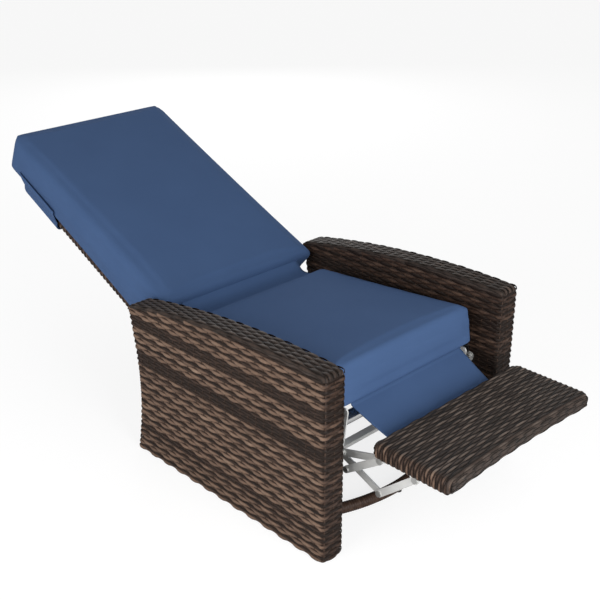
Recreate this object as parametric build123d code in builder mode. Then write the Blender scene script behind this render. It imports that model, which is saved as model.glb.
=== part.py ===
from build123d import *
import math
import os

# Reclining garden armchair, in millimetres and degrees, drawn fully reclined with the footrest out.
# X is the width, the sitter faces -Y and Z is up. Side outlines are drawn with Y across and Z up,
# and every right-hand piece (on -X) is mirrored to make its left-hand twin.

# Arms
overall_width = 707.0
arm_thickness = 64.0
arm_depth = 712.0
arm_front_height = 495.0
arm_crown_y = 330.0
arm_crown_height = 488.5
arm_rear_top_y = 721.0
arm_rear_height = 431.0
arm_waist_y = 688.0
arm_waist_height = 205.0
arm_corner_radius = 11.0
arm_edge_radius = 9.0
wicker_wall = 4.0
fit_gap = 0.3
overrun = 1.0

# Arm frames and floor glides
arm_tube = 18.0
arm_tie = 12.0
arm_tie_span_shares = (0.28, 0.74)
lower_rail_height = 135.0
upper_rail_height = 286.0
glide_radius = 12.0
glide_height = 6.0
glide_proud = 2.0
glide_inset = 46.0
glide_hole_gap = 1.5

# Base side plates, tubes and bolts
sheet = 4.0
base_strip_half = 15.0
base_strip_front_y = 165.0
base_strip_tail = 15.4
front_bolt_y = 86.0
front_lobe_radius = 14.0
guide_lobe_radius = 17.0
guide_foot_spread = 44.0
rear_lobe_radius = 20.0
bolt_radius = 4.0
bolt_clearance = 0.3
bolt_head_radius = 7.0
bolt_head_height = 5.0
bolt_reach = 14.0
bolt_spot_shares = (0.05, 0.56, 0.97)
square_tube = 25.0
square_tube_wall = 2.0
mid_tube_y = 345.0
rear_tube_height = 45.0
lug_half_width = 12.0

# Bowed stretcher at the floor
bow_tube_radius = 14.0
bow_clearance_below = 3.0
bow_front_y = 72.0
bow_sweep_radius = 480.0
bow_flange_radius = 24.0
bow_flange_lift = 2.0
bow_foot_radius = 9.0

# Seat pivots, behind the seat cushion's rear edge, and tilt
seat_pivot_behind = 45.2
seat_pivot_z = 180.4
seat_tilt_travel = 6.0
guide_pin_y = 400.0
guide_pin_z = 240.0
guide_pin_radius = 6.0
guide_roller_radius = 10.0
guide_slot_clearance = 0.3
pivot_radius = 5.0
pin_clearance = 0.05
pivot_collar_radius = 9.0

# Seat frame, in the sloping plane of the cushion's underside
seat_slope = 5.5
seat_front_y = 48.4
seat_front_z = 348.9
strap_thickness = 2.5
strap_width = 52.0
strap_count = 6
rail_width = 20.0
rail_height = 22.0
rail_wall = 1.8
rail_front = 12.0
linkage_room = 68.8
front_tube_radius = 15.5
front_tube_wall = 2.0
front_tube_y = 72.2
front_tube_z = 304.6
rear_tube_setback = 26.0
rear_tube_radius = 10.0
plate_lobe_radius = 13.0

# Back hinge and recline link, behind the seat cushion's rear edge
back_hinge_behind = 26.3
back_hinge_z = 275.5
hinge_lobe_radius = 15.0
recline_foot_behind = 11.6
recline_foot_z = 205.0
recline_base_behind = 55.62
recline_base_z = 84.0

# Back, along and across its own slope
back_slope = 25.7
back_edge_behind = 58.3
back_edge_z = 422.3
back_cushion_length = 800.0
back_cushion_thickness = 141.0
back_cushion_crown = 9.0
back_cushion_drop = 30.0
back_cushion_foot_draw = 42.0
back_cushion_side_gap = 10.5
back_cushion_hem_radius = 24.0
back_cushion_edge_radius = 26.0
back_cushion_corner_radius = 62.0
back_frame_gap = 1.0
back_panel_thickness = 28.0
back_panel_start = 52.0
back_panel_end = 716.0
back_panel_inset = 4.0
back_tube_start = 10.0
back_cross_share = 0.46
hood_start = 525.0
hood_wall = 3.5
hood_gap = 12.0
hood_depth = 17.0
hinge_plate_reach = 130.0

# Cushions
cushion_side_gap = 35.5
cushion_corner_radius = 26.0
cushion_draw = 5.0
crown_end_share = 0.25
cushion_edge_radius = 20.0
seat_cushion_depth = 546.0
seat_cushion_thickness = 104.0
seat_cushion_crown = 7.0
seat_cushion_lean = 14.0
seat_cushion_rear_draw = 12.0
seat_cushion_hem = 6.0
cushion_hem_radius = 12.0
cushion_end_radius = 16.0
back_corner_radius = 44.0

# Fabric flaps
flap_thickness = 2.5
flap_hinge_y = 54.9
flap_hinge_z = 344.9
flap_end_y = -59.0
flap_end_z = 297.7
flap_inset = 15.7
flap_end_inset = 14.0
flap_corner_radius = 22.0
bridge_inset = 39.0
bridge_overlap = 34.0
bridge_lift = 4.6

# Footrest linkage, seen from the side
layer_pitch = 5.0
link_half_width = 9.0
drive_pivot_y = 77.5
drive_pivot_z = 228.6
rear_pivot_y = 115.2
rear_pivot_z = 262.4
drive_end_y = -61.5
drive_end_z = 171.0
crossing_y = 23.9
crossing_z = 206.4
front_mount_y = -168.0
front_mount_z = 262.0
rear_mount_y = -77.9
rear_mount_z = 277.0
brace_end_y = 47.3
brace_end_z = 239.4
cross_bar_side = 16.0
journal_radius = 6.0
rivet_radius = 4.0
rivet_head_radius = 8.0
rivet_head_height = 2.0
sleeve_radius = 6.0
sleeve_head_radius = 9.0

# Footrest
footrest_side_gap = 18.9
footrest_front_y = -287.8
footrest_rear_y = -70.5
footrest_top_z = 328.0
footrest_thickness = 37.7
footrest_arch = 10.0
footrest_edge_radius = 12.0
footrest_corner_radius = 16.0
footrest_tube = 20.0
bracket_strip_height = 8.0
bracket_lug_radius = 11.0
bracket_flange_width = 22.0
bracket_flange_thickness = 3.0
bracket_tail = 16.0
screw_radius = 2.5
screw_head_radius = 5.0
screw_head_height = 2.0
screw_reach = 12.0
screw_shares = (0.2, 0.6)

arm_inner = overall_width / 2 - arm_thickness
arm_outer = overall_width / 2
base_plate_inner = arm_inner - fit_gap - sheet
plate_inner = arm_inner - linkage_room
cushion_half_width = arm_inner - cushion_side_gap
back_panel_half_width = cushion_half_width - back_panel_inset
back_cushion_half_width = arm_inner - back_cushion_side_gap
bridge_half_width = cushion_half_width - bridge_inset
flap_half_width = plate_inner - flap_inset
footrest_half_width = arm_inner - footrest_side_gap
rail_inner = plate_inner + sheet + fit_gap
rail_outer = rail_inner + rail_width
tilt_inner = rail_outer + fit_gap
link_inner = plate_inner - layer_pitch
lug_inner = link_inner - layer_pitch
footrest_bottom_z = footrest_top_z - footrest_thickness
seat_rear_y = seat_front_y + seat_cushion_depth
rear_tube_along = seat_cushion_depth - rear_tube_setback
seat_pivot_y = seat_rear_y + seat_pivot_behind
back_hinge_y = seat_rear_y + back_hinge_behind
recline_foot_y = seat_rear_y + recline_foot_behind
recline_base_y = seat_rear_y + recline_base_behind
back_edge_y = seat_rear_y + back_edge_behind
base_strip_rear_y = seat_pivot_y + base_strip_tail
base_strip_length = base_strip_rear_y - base_strip_front_y
bolt_spots_y = [base_strip_front_y + share * base_strip_length for share in bolt_spot_shares]
seat_pivot = (seat_pivot_y, seat_pivot_z)
back_hinge = (back_hinge_y, back_hinge_z)
guide_pin = (guide_pin_y, guide_pin_z)
drive_pivot = (drive_pivot_y, drive_pivot_z)
rear_pivot = (rear_pivot_y, rear_pivot_z)
drive_end = (drive_end_y, drive_end_z)
crossing = (crossing_y, crossing_z)
front_mount = (front_mount_y, front_mount_z)
rear_mount = (rear_mount_y, rear_mount_z)
brace_end = (brace_end_y, brace_end_z)
front_tube = (front_tube_y, front_tube_z)
recline_foot = (recline_foot_y, recline_foot_z)
recline_base = (recline_base_y, recline_base_z)
front_bolt = (front_bolt_y, upper_rail_height)

pieces = {}


def keep(name, part):
    """Files one finished piece under its name."""
    pieces[name] = part


def keep_pair(name, part):
    """Files a right-hand piece and its mirrored left-hand twin."""
    pieces[name + "_r"] = part
    pieces[name + "_l"] = mirror(part, about=Plane.YZ)


def keep_both(name, part):
    """Files a right-hand piece and its twin as one group of separate solids."""
    pieces[name] = Compound(part.solids() + mirror(part, about=Plane.YZ).solids())


def side_plane(distance):
    """Side view plane whose face lies this far out on the right-hand side."""
    return Plane(origin=(-distance, 0, 0), x_dir=(0, 1, 0), z_dir=(1, 0, 0))


def layer(number):
    """Outer face of one layer of the linkage, counted outwards from the linkage plate."""
    return plate_inner + number * layer_pitch + sheet


def seat_point(along, across):
    """Side view point measured along and above the underside of the seat cushion."""
    turn = math.radians(seat_slope)
    return (seat_front_y + along * math.cos(turn) + across * math.sin(turn),
            seat_front_z - along * math.sin(turn) + across * math.cos(turn))


def back_point(along, across):
    """Side view point measured along and in front of the face of the back cushion."""
    turn = math.radians(back_slope)
    return (back_edge_y + along * math.cos(turn) - across * math.sin(turn),
            back_edge_z + along * math.sin(turn) + across * math.cos(turn))


def sloped_side(origin, slope, distance):
    """Side plane at this distance to the right, with its first axis along a slope from +Y towards +Z."""
    turn = math.radians(slope)
    return Plane(origin=(-distance, origin[0], origin[1]),
                 x_dir=(0, math.cos(turn), math.sin(turn)), z_dir=(1, 0, 0))


def sloped_plan(origin, slope):
    """Plane square to the side view, with its second axis along the slope."""
    turn = math.radians(slope)
    return Plane(origin=(0, origin[0], origin[1]), x_dir=(1, 0, 0),
                 z_dir=(0, -math.sin(turn), math.cos(turn)))


def seat_side(distance):
    """Side plane that follows the slope of the seat."""
    return sloped_side(seat_point(0, 0), -seat_slope, distance)


def seat_plan(height):
    """Plane parallel to the seat cushion's underside, with its second axis to the rear."""
    return sloped_plan(seat_point(0, height), -seat_slope)


def back_plan(height):
    """Plane parallel to the face of the back cushion, with its second axis to the top of the back."""
    return sloped_plan(back_point(0, height), back_slope)


def web(lobes):
    """Taut outline around round lobes, each given as a point and a radius."""
    with BuildSketch() as outline:
        for point, radius in lobes:
            with Locations(point):
                Circle(radius)
        if len(lobes) > 1:
            make_hull()
    return outline.sketch


def pierced_plate(outer_face, webs, holes):
    """Sheet steel plate of joined webs, with round holes."""
    with BuildPart() as plate:
        with BuildSketch(side_plane(outer_face)):
            for lobes in webs:
                add(web(lobes))
            for point, radius in holes:
                with Locations(point):
                    Circle(radius, mode=Mode.SUBTRACT)
        extrude(amount=sheet)
    return plate.part


def link_bar(outer_face, start, end, holes):
    """Flat link with round ends."""
    return pierced_plate(outer_face, [[(start, link_half_width), (end, link_half_width)]], holes)


def stepped_pin(point, steps):
    """Turned pin on the right-hand side: each step is an outer distance, an inner distance and a radius."""
    with BuildPart() as pin:
        for outer, inner, radius in steps:
            with BuildSketch(side_plane(outer)):
                with Locations(point):
                    Circle(radius)
            extrude(amount=outer - inner)
    return pin.part


def rivet(point, outer, inner, radius=rivet_radius, head=rivet_head_radius):
    """Rivet whose two heads stand just off the outer and inner faces that it joins."""
    outer_seat, inner_seat = outer + fit_gap, inner - fit_gap
    return stepped_pin(point, [(outer_seat + rivet_head_height, outer_seat, head),
                               (outer_seat, inner_seat, radius),
                               (inner_seat, inner_seat - rivet_head_height, head)])


def arm_outline(inset):
    """Side outline of an arm, set in all round."""
    with BuildSketch() as outline:
        with BuildLine():
            Line((0, glide_proud), (0, arm_front_height))
            ThreePointArc((0, arm_front_height), (arm_crown_y, arm_crown_height),
                          (arm_rear_top_y, arm_rear_height))
            ThreePointArc((arm_rear_top_y, arm_rear_height), (arm_waist_y, arm_waist_height),
                          (arm_depth, glide_proud))
            Line((arm_depth, glide_proud), (0, glide_proud))
        make_face()
        if inset:
            offset(amount=-inset, kind=Kind.INTERSECTION, mode=Mode.REPLACE)
        if arm_corner_radius > inset:
            fillet(outline.vertices().sort_by(Axis.Y)[-2:], arm_corner_radius - inset)
    return outline.sketch


def arm_pieces():
    """Woven shell, double tube frame and glides of the right arm."""
    bolts = [(y, lower_rail_height) for y in bolt_spots_y] + [front_bolt, bow_bolt()]
    glide_spots = [(glide_inset, arm_outer - arm_thickness / 2),
                   (arm_depth - glide_inset, arm_outer - arm_thickness / 2)]
    with BuildPart() as weave:
        with BuildSketch(side_plane(arm_outer)):
            add(arm_outline(0))
        extrude(amount=arm_thickness)
        rims = weave.faces().filter_by(Axis.X).edges()
        fillet(rims, arm_edge_radius)
        with BuildSketch(side_plane(arm_outer - wicker_wall)):
            add(arm_outline(wicker_wall))
        extrude(amount=arm_thickness - 2 * wicker_wall, mode=Mode.SUBTRACT)
        with BuildSketch(side_plane(arm_inner + wicker_wall + overrun)):
            for point in bolts:
                with Locations(point):
                    Circle(bolt_radius + bolt_clearance)
        extrude(amount=wicker_wall + 2 * overrun, mode=Mode.SUBTRACT)
        with BuildSketch(Plane.XY.offset(glide_proud - overrun)):
            for y, distance in glide_spots:
                with Locations((-distance, y)):
                    Circle(glide_radius + glide_hole_gap)
        extrude(amount=wicker_wall + 2 * overrun, mode=Mode.SUBTRACT)
    keep_pair("arm_weave", weave.part)

    skin = wicker_wall + fit_gap
    with BuildPart() as frame:
        for outer in (arm_outer - skin, arm_inner + skin + arm_tube):
            with BuildSketch(side_plane(outer)):
                add(arm_outline(skin))
                add(arm_outline(skin + arm_tube), mode=Mode.SUBTRACT)
                for height in (lower_rail_height, upper_rail_height):
                    with Locations((arm_waist_y / 2, height)):
                        Rectangle(arm_waist_y - skin - arm_tube, arm_tube)
            extrude(amount=arm_tube)
        ties = [(skin + arm_tube / 2, lower_rail_height), (skin + arm_tube / 2, upper_rail_height)]
        ties += [(share * arm_waist_y, height) for share in arm_tie_span_shares
                 for height in (glide_proud + skin + arm_tube / 2, lower_rail_height, upper_rail_height)]
        with BuildSketch(side_plane(arm_outer - skin - arm_tube + overrun)):
            for point in ties:
                with Locations(point):
                    Rectangle(arm_tie, arm_tie)
        extrude(amount=arm_thickness - 2 * skin - 2 * arm_tube + 2 * overrun)
        with BuildSketch(side_plane(arm_inner + skin + arm_tube + overrun)):
            for point in bolts:
                with Locations(point):
                    Circle(bolt_radius + bolt_clearance)
        extrude(amount=arm_tube + 2 * overrun, mode=Mode.SUBTRACT)
    keep_pair("arm_frame", frame.part)

    with BuildPart() as glides:
        with BuildSketch(Plane.XY):
            for y, distance in glide_spots:
                with Locations((-distance, y)):
                    Circle(glide_radius)
        extrude(amount=glide_height)
    keep_both("floor_glides", glides.part)


def bow_height():
    """Height of the bowed stretcher's centre line."""
    return bow_clearance_below + bow_tube_radius


def bow_depth(reach):
    """Depth of the bowed stretcher's centre line at this distance from the middle."""
    return bow_front_y + bow_sweep_radius - math.sqrt(bow_sweep_radius ** 2 - reach ** 2)


def bow_end_y():
    """Depth at which the bowed stretcher meets an arm."""
    return bow_depth(base_plate_inner)


def bow_bolt():
    """Bolt through the bowed stretcher's end flange, above the tube."""
    flange_top = bow_clearance_below + bow_flange_lift + 2 * bow_flange_radius
    return (bow_end_y(), (flange_top + bow_height() + bow_tube_radius) / 2)


def bow_pieces():
    """Bowed stretcher with its end flanges, and the foot under its middle."""
    height = bow_height()
    with BuildPart() as bow:
        with BuildLine() as path:
            reach = base_plate_inner + bow_tube_radius
            end_y = bow_depth(reach)
            ThreePointArc((-reach, end_y, height), (0, bow_front_y, height), (reach, end_y, height))
        with BuildSketch(Plane(origin=path.line @ 0, z_dir=path.line % 0)):
            Circle(bow_tube_radius)
        sweep()
        with BuildSketch(side_plane(base_plate_inner)):
            with Locations((end_y, height)):
                Rectangle(4 * reach, 4 * bow_tube_radius)
        extrude(amount=2 * base_plate_inner, mode=Mode.INTERSECT)
        for outer in (base_plate_inner + sheet, -base_plate_inner):
            with BuildSketch(side_plane(outer)):
                with Locations((bow_end_y(), bow_clearance_below + bow_flange_lift + bow_flange_radius)):
                    Circle(bow_flange_radius)
                with Locations(bow_bolt()):
                    Circle(bolt_radius + bolt_clearance, mode=Mode.SUBTRACT)
            extrude(amount=sheet)
    keep("bow_stretcher", bow.part)
    with BuildPart() as foot:
        with BuildSketch(Plane.XY):
            with Locations((0, bow_front_y)):
                Circle(bow_foot_radius)
        extrude(amount=bow_clearance_below)
    keep("bow_foot", foot.part)


def guide_arc():
    """Radius and start angle of the slot that the guide pin follows about the seat pivot."""
    dy, dz = guide_pin_y - seat_pivot_y, guide_pin_z - seat_pivot_z
    return math.hypot(dy, dz), math.degrees(math.atan2(dz, dy))


def base_pieces():
    """Side plates, cross tubes with recline lugs, bolts and seat pivot bolts."""
    radius, start = guide_arc()
    slot_low = (seat_pivot_y + radius * math.cos(math.radians(start + seat_tilt_travel)),
                seat_pivot_z + radius * math.sin(math.radians(start + seat_tilt_travel)))
    strip_front = (base_strip_front_y, lower_rail_height)
    strip_rear = (base_strip_rear_y, lower_rail_height)
    rear_end = (recline_base_y, rear_tube_height)
    guide_feet = [(guide_pin_y - guide_foot_spread, lower_rail_height),
                  (guide_pin_y + guide_foot_spread, lower_rail_height)]
    outer = base_plate_inner + sheet
    with BuildPart() as plate:
        with BuildSketch(side_plane(outer)):
            add(web([(strip_front, base_strip_half), (strip_rear, base_strip_half)]))
            add(web([(strip_front, base_strip_half), (front_bolt, front_lobe_radius)]))
            add(web([(guide_pin, guide_lobe_radius), (slot_low, guide_lobe_radius)]
                    + [(foot, base_strip_half) for foot in guide_feet]))
            add(web([(seat_pivot, rear_lobe_radius), (strip_rear, base_strip_half),
                     ((base_strip_rear_y - 3 * rear_lobe_radius, lower_rail_height), base_strip_half)]))
            add(web([(strip_rear, base_strip_half), (rear_end, rear_lobe_radius)]))
            spare = math.degrees(guide_slot_clearance / radius)
            with BuildLine(mode=Mode.PRIVATE) as slot_line:
                CenterArc(seat_pivot, radius, start - spare, seat_tilt_travel + 2 * spare)
            SlotArc(slot_line.wires()[0], 2 * (guide_pin_radius + guide_slot_clearance),
                    mode=Mode.SUBTRACT)
            for point in [(y, lower_rail_height) for y in bolt_spots_y] + [front_bolt]:
                with Locations(point):
                    Circle(bolt_radius + bolt_clearance, mode=Mode.SUBTRACT)
            with Locations(seat_pivot):
                Circle(pivot_radius + pin_clearance, mode=Mode.SUBTRACT)
        extrude(amount=sheet)
    keep_pair("base_side_plate", plate.part)

    span = base_plate_inner - fit_gap
    for name, point in (("base_mid_tube", (mid_tube_y, lower_rail_height)), ("base_rear_tube", rear_end)):
        with BuildPart() as tube:
            with BuildSketch(side_plane(span)):
                with Locations(point):
                    Rectangle(square_tube, square_tube)
                    Rectangle(square_tube - 2 * square_tube_wall, square_tube - 2 * square_tube_wall,
                              mode=Mode.SUBTRACT)
            extrude(amount=2 * span)
            if name == "base_rear_tube":
                lug_top = recline_base_z
                lug_foot = rear_tube_height + square_tube / 2
                for outer_face in (lug_inner + sheet, -lug_inner):
                    with BuildSketch(side_plane(outer_face)):
                        with Locations(recline_base):
                            Circle(lug_half_width)
                        with Locations((recline_base_y, (lug_top + lug_foot) / 2)):
                            Rectangle(2 * lug_half_width, lug_top - lug_foot)
                        with Locations(recline_base):
                            Circle(pivot_radius + pin_clearance, mode=Mode.SUBTRACT)
                    extrude(amount=sheet)
        keep(name, tube.part)

    bolts = []
    for point in [(y, lower_rail_height) for y in bolt_spots_y] + [front_bolt, bow_bolt()]:
        seat = base_plate_inner - fit_gap
        bolts.append(stepped_pin(point, [(arm_inner + bolt_reach, seat, bolt_radius),
                                         (seat, seat - bolt_head_height, bolt_head_radius)]))
    keep_both("base_bolts", Compound([solid for bolt in bolts for solid in bolt.solids()]))

    collar_outer = base_plate_inner - fit_gap
    pivot = stepped_pin(seat_pivot, [(base_plate_inner + sheet, collar_outer, pivot_radius),
                                     (collar_outer, tilt_inner + sheet + fit_gap, pivot_collar_radius),
                                     (tilt_inner + sheet + fit_gap, tilt_inner - fit_gap, pivot_radius),
                                     (tilt_inner - fit_gap, tilt_inner - fit_gap - rivet_head_height,
                                      rivet_head_radius)])
    keep_both("seat_pivot_bolts", pivot)


def seat_pieces():
    """Rails, tubes, straps, linkage plates, tilt arms and guides of the seat frame."""
    rail_top = -strap_thickness - 2 * fit_gap
    rail_mid = rail_top - rail_height / 2
    turn = math.radians(seat_slope)
    dy, dz = back_hinge_y - seat_front_y, back_hinge_z - seat_front_z
    hinge_along = dy * math.cos(turn) - dz * math.sin(turn)
    hinge_across = dy * math.sin(turn) + dz * math.cos(turn)
    rail_end = hinge_along + rail_height / 2
    with BuildPart() as rail:
        with BuildSketch(seat_side(rail_outer)):
            with Locations(((rail_front + rail_end) / 2, rail_mid)):
                Rectangle(rail_end - rail_front, rail_height)
        extrude(amount=rail_width)
        with BuildSketch(seat_side(rail_outer - rail_wall)):
            with Locations(((rail_front + rail_end) / 2, rail_mid)):
                Rectangle(rail_end - rail_front + 2 * overrun, rail_height - 2 * rail_wall)
        extrude(amount=rail_width - 2 * rail_wall, mode=Mode.SUBTRACT)
        with BuildSketch(seat_side(rail_outer + overrun)):
            with Locations((hinge_along, hinge_across)):
                Circle(pivot_radius + pin_clearance)
        extrude(amount=rail_width + 2 * overrun, mode=Mode.SUBTRACT)
    keep_pair("seat_rail", rail.part)

    span = plate_inner - fit_gap
    with BuildPart() as tube:
        with BuildSketch(side_plane(span)):
            with Locations(front_tube):
                Circle(front_tube_radius)
                Circle(front_tube_radius - front_tube_wall, mode=Mode.SUBTRACT)
        extrude(amount=2 * span)
    keep("seat_front_tube", tube.part)
    rear_span = rail_inner - fit_gap
    with BuildPart() as tube:
        with BuildSketch(side_plane(rear_span)):
            with Locations(seat_point(rear_tube_along, rail_mid)):
                Circle(rear_tube_radius)
                Circle(rear_tube_radius - front_tube_wall, mode=Mode.SUBTRACT)
        extrude(amount=2 * rear_span)
    keep("seat_rear_tube", tube.part)

    first = rail_front + strap_width
    pitch = (rear_tube_along - first) / (strap_count - 1)
    with BuildPart() as straps:
        with BuildSketch(seat_plan(-strap_thickness - fit_gap)):
            for number in range(strap_count):
                with Locations((0, first + number * pitch)):
                    Rectangle(2 * rail_outer, strap_width)
        extrude(amount=strap_thickness)
    keep("seat_straps", straps.part)

    rail_front_spot = seat_point(plate_lobe_radius, rail_mid)
    rail_rear_spot = seat_point(rear_pivot_y, rail_mid)
    lobe = rail_height / 2 - overrun
    keep_pair("linkage_plate", pierced_plate(
        layer(0),
        [[(drive_pivot, plate_lobe_radius), (rear_pivot, plate_lobe_radius),
          (rail_front_spot, lobe), (rail_rear_spot, lobe)]],
        [(drive_pivot, journal_radius + pin_clearance), (rear_pivot, rivet_radius + pin_clearance)]))

    tilt_outer = tilt_inner + sheet
    keep_pair("tilt_arm", pierced_plate(
        tilt_outer,
        [[(seat_pivot, hinge_lobe_radius), (back_hinge, hinge_lobe_radius),
          (seat_point(rear_tube_along, rail_mid), lobe)]],
        [(seat_pivot, pivot_radius + pin_clearance), (back_hinge, pivot_radius + pin_clearance)]))

    guide_root = [seat_point(guide_pin_y - seat_front_y + side * guide_foot_spread / 2, rail_mid)
                  for side in (-1, 1)]
    keep_pair("guide_bracket", pierced_plate(
        tilt_outer,
        [[(guide_pin, plate_lobe_radius)] + [(point, lobe) for point in guide_root]],
        [(guide_pin, guide_pin_radius + pin_clearance)]))
    keep_both("guide_pins", stepped_pin(guide_pin, [
        (base_plate_inner + sheet, base_plate_inner - fit_gap, guide_pin_radius),
        (base_plate_inner - fit_gap, tilt_outer + fit_gap, guide_roller_radius),
        (tilt_outer + fit_gap, tilt_inner - fit_gap, guide_pin_radius),
        (tilt_inner - fit_gap, tilt_inner - fit_gap - rivet_head_height,
         guide_pin_radius + rivet_head_height)]))
    keep_both("back_hinge_bolts", stepped_pin(back_hinge, [
        (tilt_outer + fit_gap + rivet_head_height, tilt_outer + fit_gap, rivet_head_radius),
        (tilt_outer + fit_gap, plate_inner - fit_gap, pivot_radius),
        (plate_inner - fit_gap, plate_inner - fit_gap - rivet_head_height, rivet_head_radius)]))


def crowned_cushion(origin, slope, profile, half_width, crown, corners, hem, radii):
    """Cushion with a crowned face, drawn-in sides and soft edges, lying on its flat underside.

    The profile gives the underside's two ends and the face's two ends, along and above the slope.
    The radii round its sides below and above."""
    low_start, high_start, high_end, low_end = profile
    turn = math.radians(slope)
    along = (0, math.cos(turn), math.sin(turn))
    near = min(low_start[0], high_start[0]) - overrun
    far = max(low_end[0], high_end[0]) + overrun
    sections = ((near, 0, crown_end_share), ((near + far) / 2, cushion_draw, 1), (far, 0, crown_end_share))
    with BuildPart() as form:
        for reach, draw, swell_share in sections:
            rise = (high_end[1] - high_start[1]) * (reach - near) / (far - near)
            edge = high_start[1] + rise
            width = half_width - draw
            spot = (0, origin[0] + reach * along[1], origin[1] + reach * along[2])
            square = Plane(origin=spot, x_dir=(1, 0, 0), z_dir=(0, -along[1], -along[2]))
            with BuildSketch(square) as section:
                with BuildLine():
                    Polyline((-width, edge), (-width, 0), (width, 0), (width, edge))
                    ThreePointArc((width, edge), (0, edge + crown * swell_share), (-width, edge))
                make_face()
                fillet(section.vertices().group_by(Axis.Y)[0], radii[0])
                fillet(section.vertices().group_by(Axis.Y)[-1], radii[1])
        loft()
        with BuildSketch(sloped_plan(origin, slope)) as plan:
            with Locations((0, (near + far) / 2)):
                Rectangle(2 * (half_width + overrun), far - near - 2 * overrun)
            fillet(plan.vertices().group_by(Axis.Y)[0], corners[0])
            fillet(plan.vertices().group_by(Axis.Y)[-1], corners[1])
        extrude(amount=2 * max(high_start[1], high_end[1]), both=True, mode=Mode.INTERSECT)
        with BuildSketch(sloped_side(origin, slope, half_width + overrun)) as side:
            with BuildLine():
                lift = crown * crown_end_share + overrun
                top_start, top_end = (high_start[0], high_start[1] + lift), (high_end[0], high_end[1] + lift)
                bulge = ((top_start[0] + top_end[0]) / 2, (top_start[1] + top_end[1]) / 2 + crown)
                Polyline(top_end, low_end, low_start, top_start)
                ThreePointArc(top_start, bulge, top_end)
            make_face()
            fillet(side.vertices().group_by(Axis.Y)[0], hem)
            fillet(side.vertices().group_by(Axis.X)[-1].sort_by(Axis.Y)[-1:], radii[1])
            fillet(side.vertices().sort_by_distance(top_start)[0], radii[1])
        extrude(amount=2 * (half_width + overrun), mode=Mode.INTERSECT)
    return form.part


def sheet_strip(points, half_width, thickness, end_inset, corner, bead=0):
    """Fabric strip along two or three side-view points, narrowed towards its far end.

    A bead is the radius of a rolled hem at its start."""
    start, end = points[0], points[-1]
    with BuildPart() as strip:
        with BuildSketch(Plane.YZ):
            with BuildLine():
                if len(points) == 3:
                    ThreePointArc(*points)
                else:
                    Line(start, end)
                offset(amount=thickness / 2)
            make_face()
        extrude(amount=half_width, both=True)
        length = math.dist(start, end)
        slope = math.degrees(math.atan2(end[1] - start[1], end[0] - start[0]))
        with BuildSketch(sloped_plan(start, slope)) as plan:
            with BuildLine():
                Polyline((-half_width, -thickness), (half_width, -thickness), (half_width, corner),
                         (half_width - end_inset, length + thickness),
                         (-half_width + end_inset, length + thickness), (-half_width, corner),
                         (-half_width, -thickness))
            make_face()
            fillet(plan.vertices().sort_by(Axis.Y)[-2:], corner)
        extrude(amount=corner, both=True, mode=Mode.INTERSECT)
        if bead:
            with BuildSketch(side_plane(half_width)):
                with Locations(start):
                    Circle(bead)
            extrude(amount=2 * half_width)
    return strip.part


def soft_pieces():
    """Seat cushion, back cushion, the bridge between them and the front flap."""
    keep("seat_cushion", crowned_cushion(
        seat_point(0, 0), -seat_slope,
        [(0, 0), (seat_cushion_lean, seat_cushion_thickness), (seat_cushion_depth, seat_cushion_thickness),
         (seat_cushion_depth - seat_cushion_rear_draw, 0)],
        cushion_half_width, seat_cushion_crown, (cushion_corner_radius, cushion_corner_radius),
        seat_cushion_hem, (cushion_hem_radius, cushion_edge_radius)))
    thickness = back_cushion_thickness
    keep("back_cushion", crowned_cushion(
        back_point(0, -thickness), back_slope,
        [(back_cushion_foot_draw, 0), (0, thickness), (back_cushion_length, thickness - back_cushion_drop),
         (back_cushion_length - seat_cushion_rear_draw, 0)],
        back_cushion_half_width, back_cushion_crown,
        (cushion_corner_radius, back_cushion_corner_radius), cushion_end_radius,
        (back_cushion_hem_radius, back_cushion_edge_radius)))
    bridge_start = seat_point(seat_cushion_depth - bridge_overlap, seat_cushion_thickness + bridge_lift)
    bridge_end = back_point(bridge_overlap / 4, bridge_lift)
    bridge_middle = ((bridge_start[0] + bridge_end[0]) / 2,
                     (bridge_start[1] + bridge_end[1]) / 2 - bridge_lift)
    keep("cushion_bridge", sheet_strip([bridge_start, bridge_middle, bridge_end], bridge_half_width,
                                       flap_thickness, flap_end_inset, flap_corner_radius))
    turn = math.radians(seat_slope)
    drop = ((seat_front_z - flap_hinge_z) * math.cos(turn) - (flap_hinge_y - seat_front_y) * math.sin(turn))
    keep("front_flap", sheet_strip([(flap_hinge_y, flap_hinge_z), (flap_end_y, flap_end_z)],
                                   flap_half_width, flap_thickness, flap_end_inset, flap_corner_radius,
                                   drop - fit_gap))


def rounded_top_panel(half_width, start, end, corner):
    """Plan outline on the back with rounded upper corners."""
    with BuildSketch() as outline:
        with Locations((0, (start + end) / 2)):
            Rectangle(2 * half_width, end - start)
        if corner:
            fillet(outline.vertices().sort_by(Axis.Y)[-2:], corner)
    return outline.sketch


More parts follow.
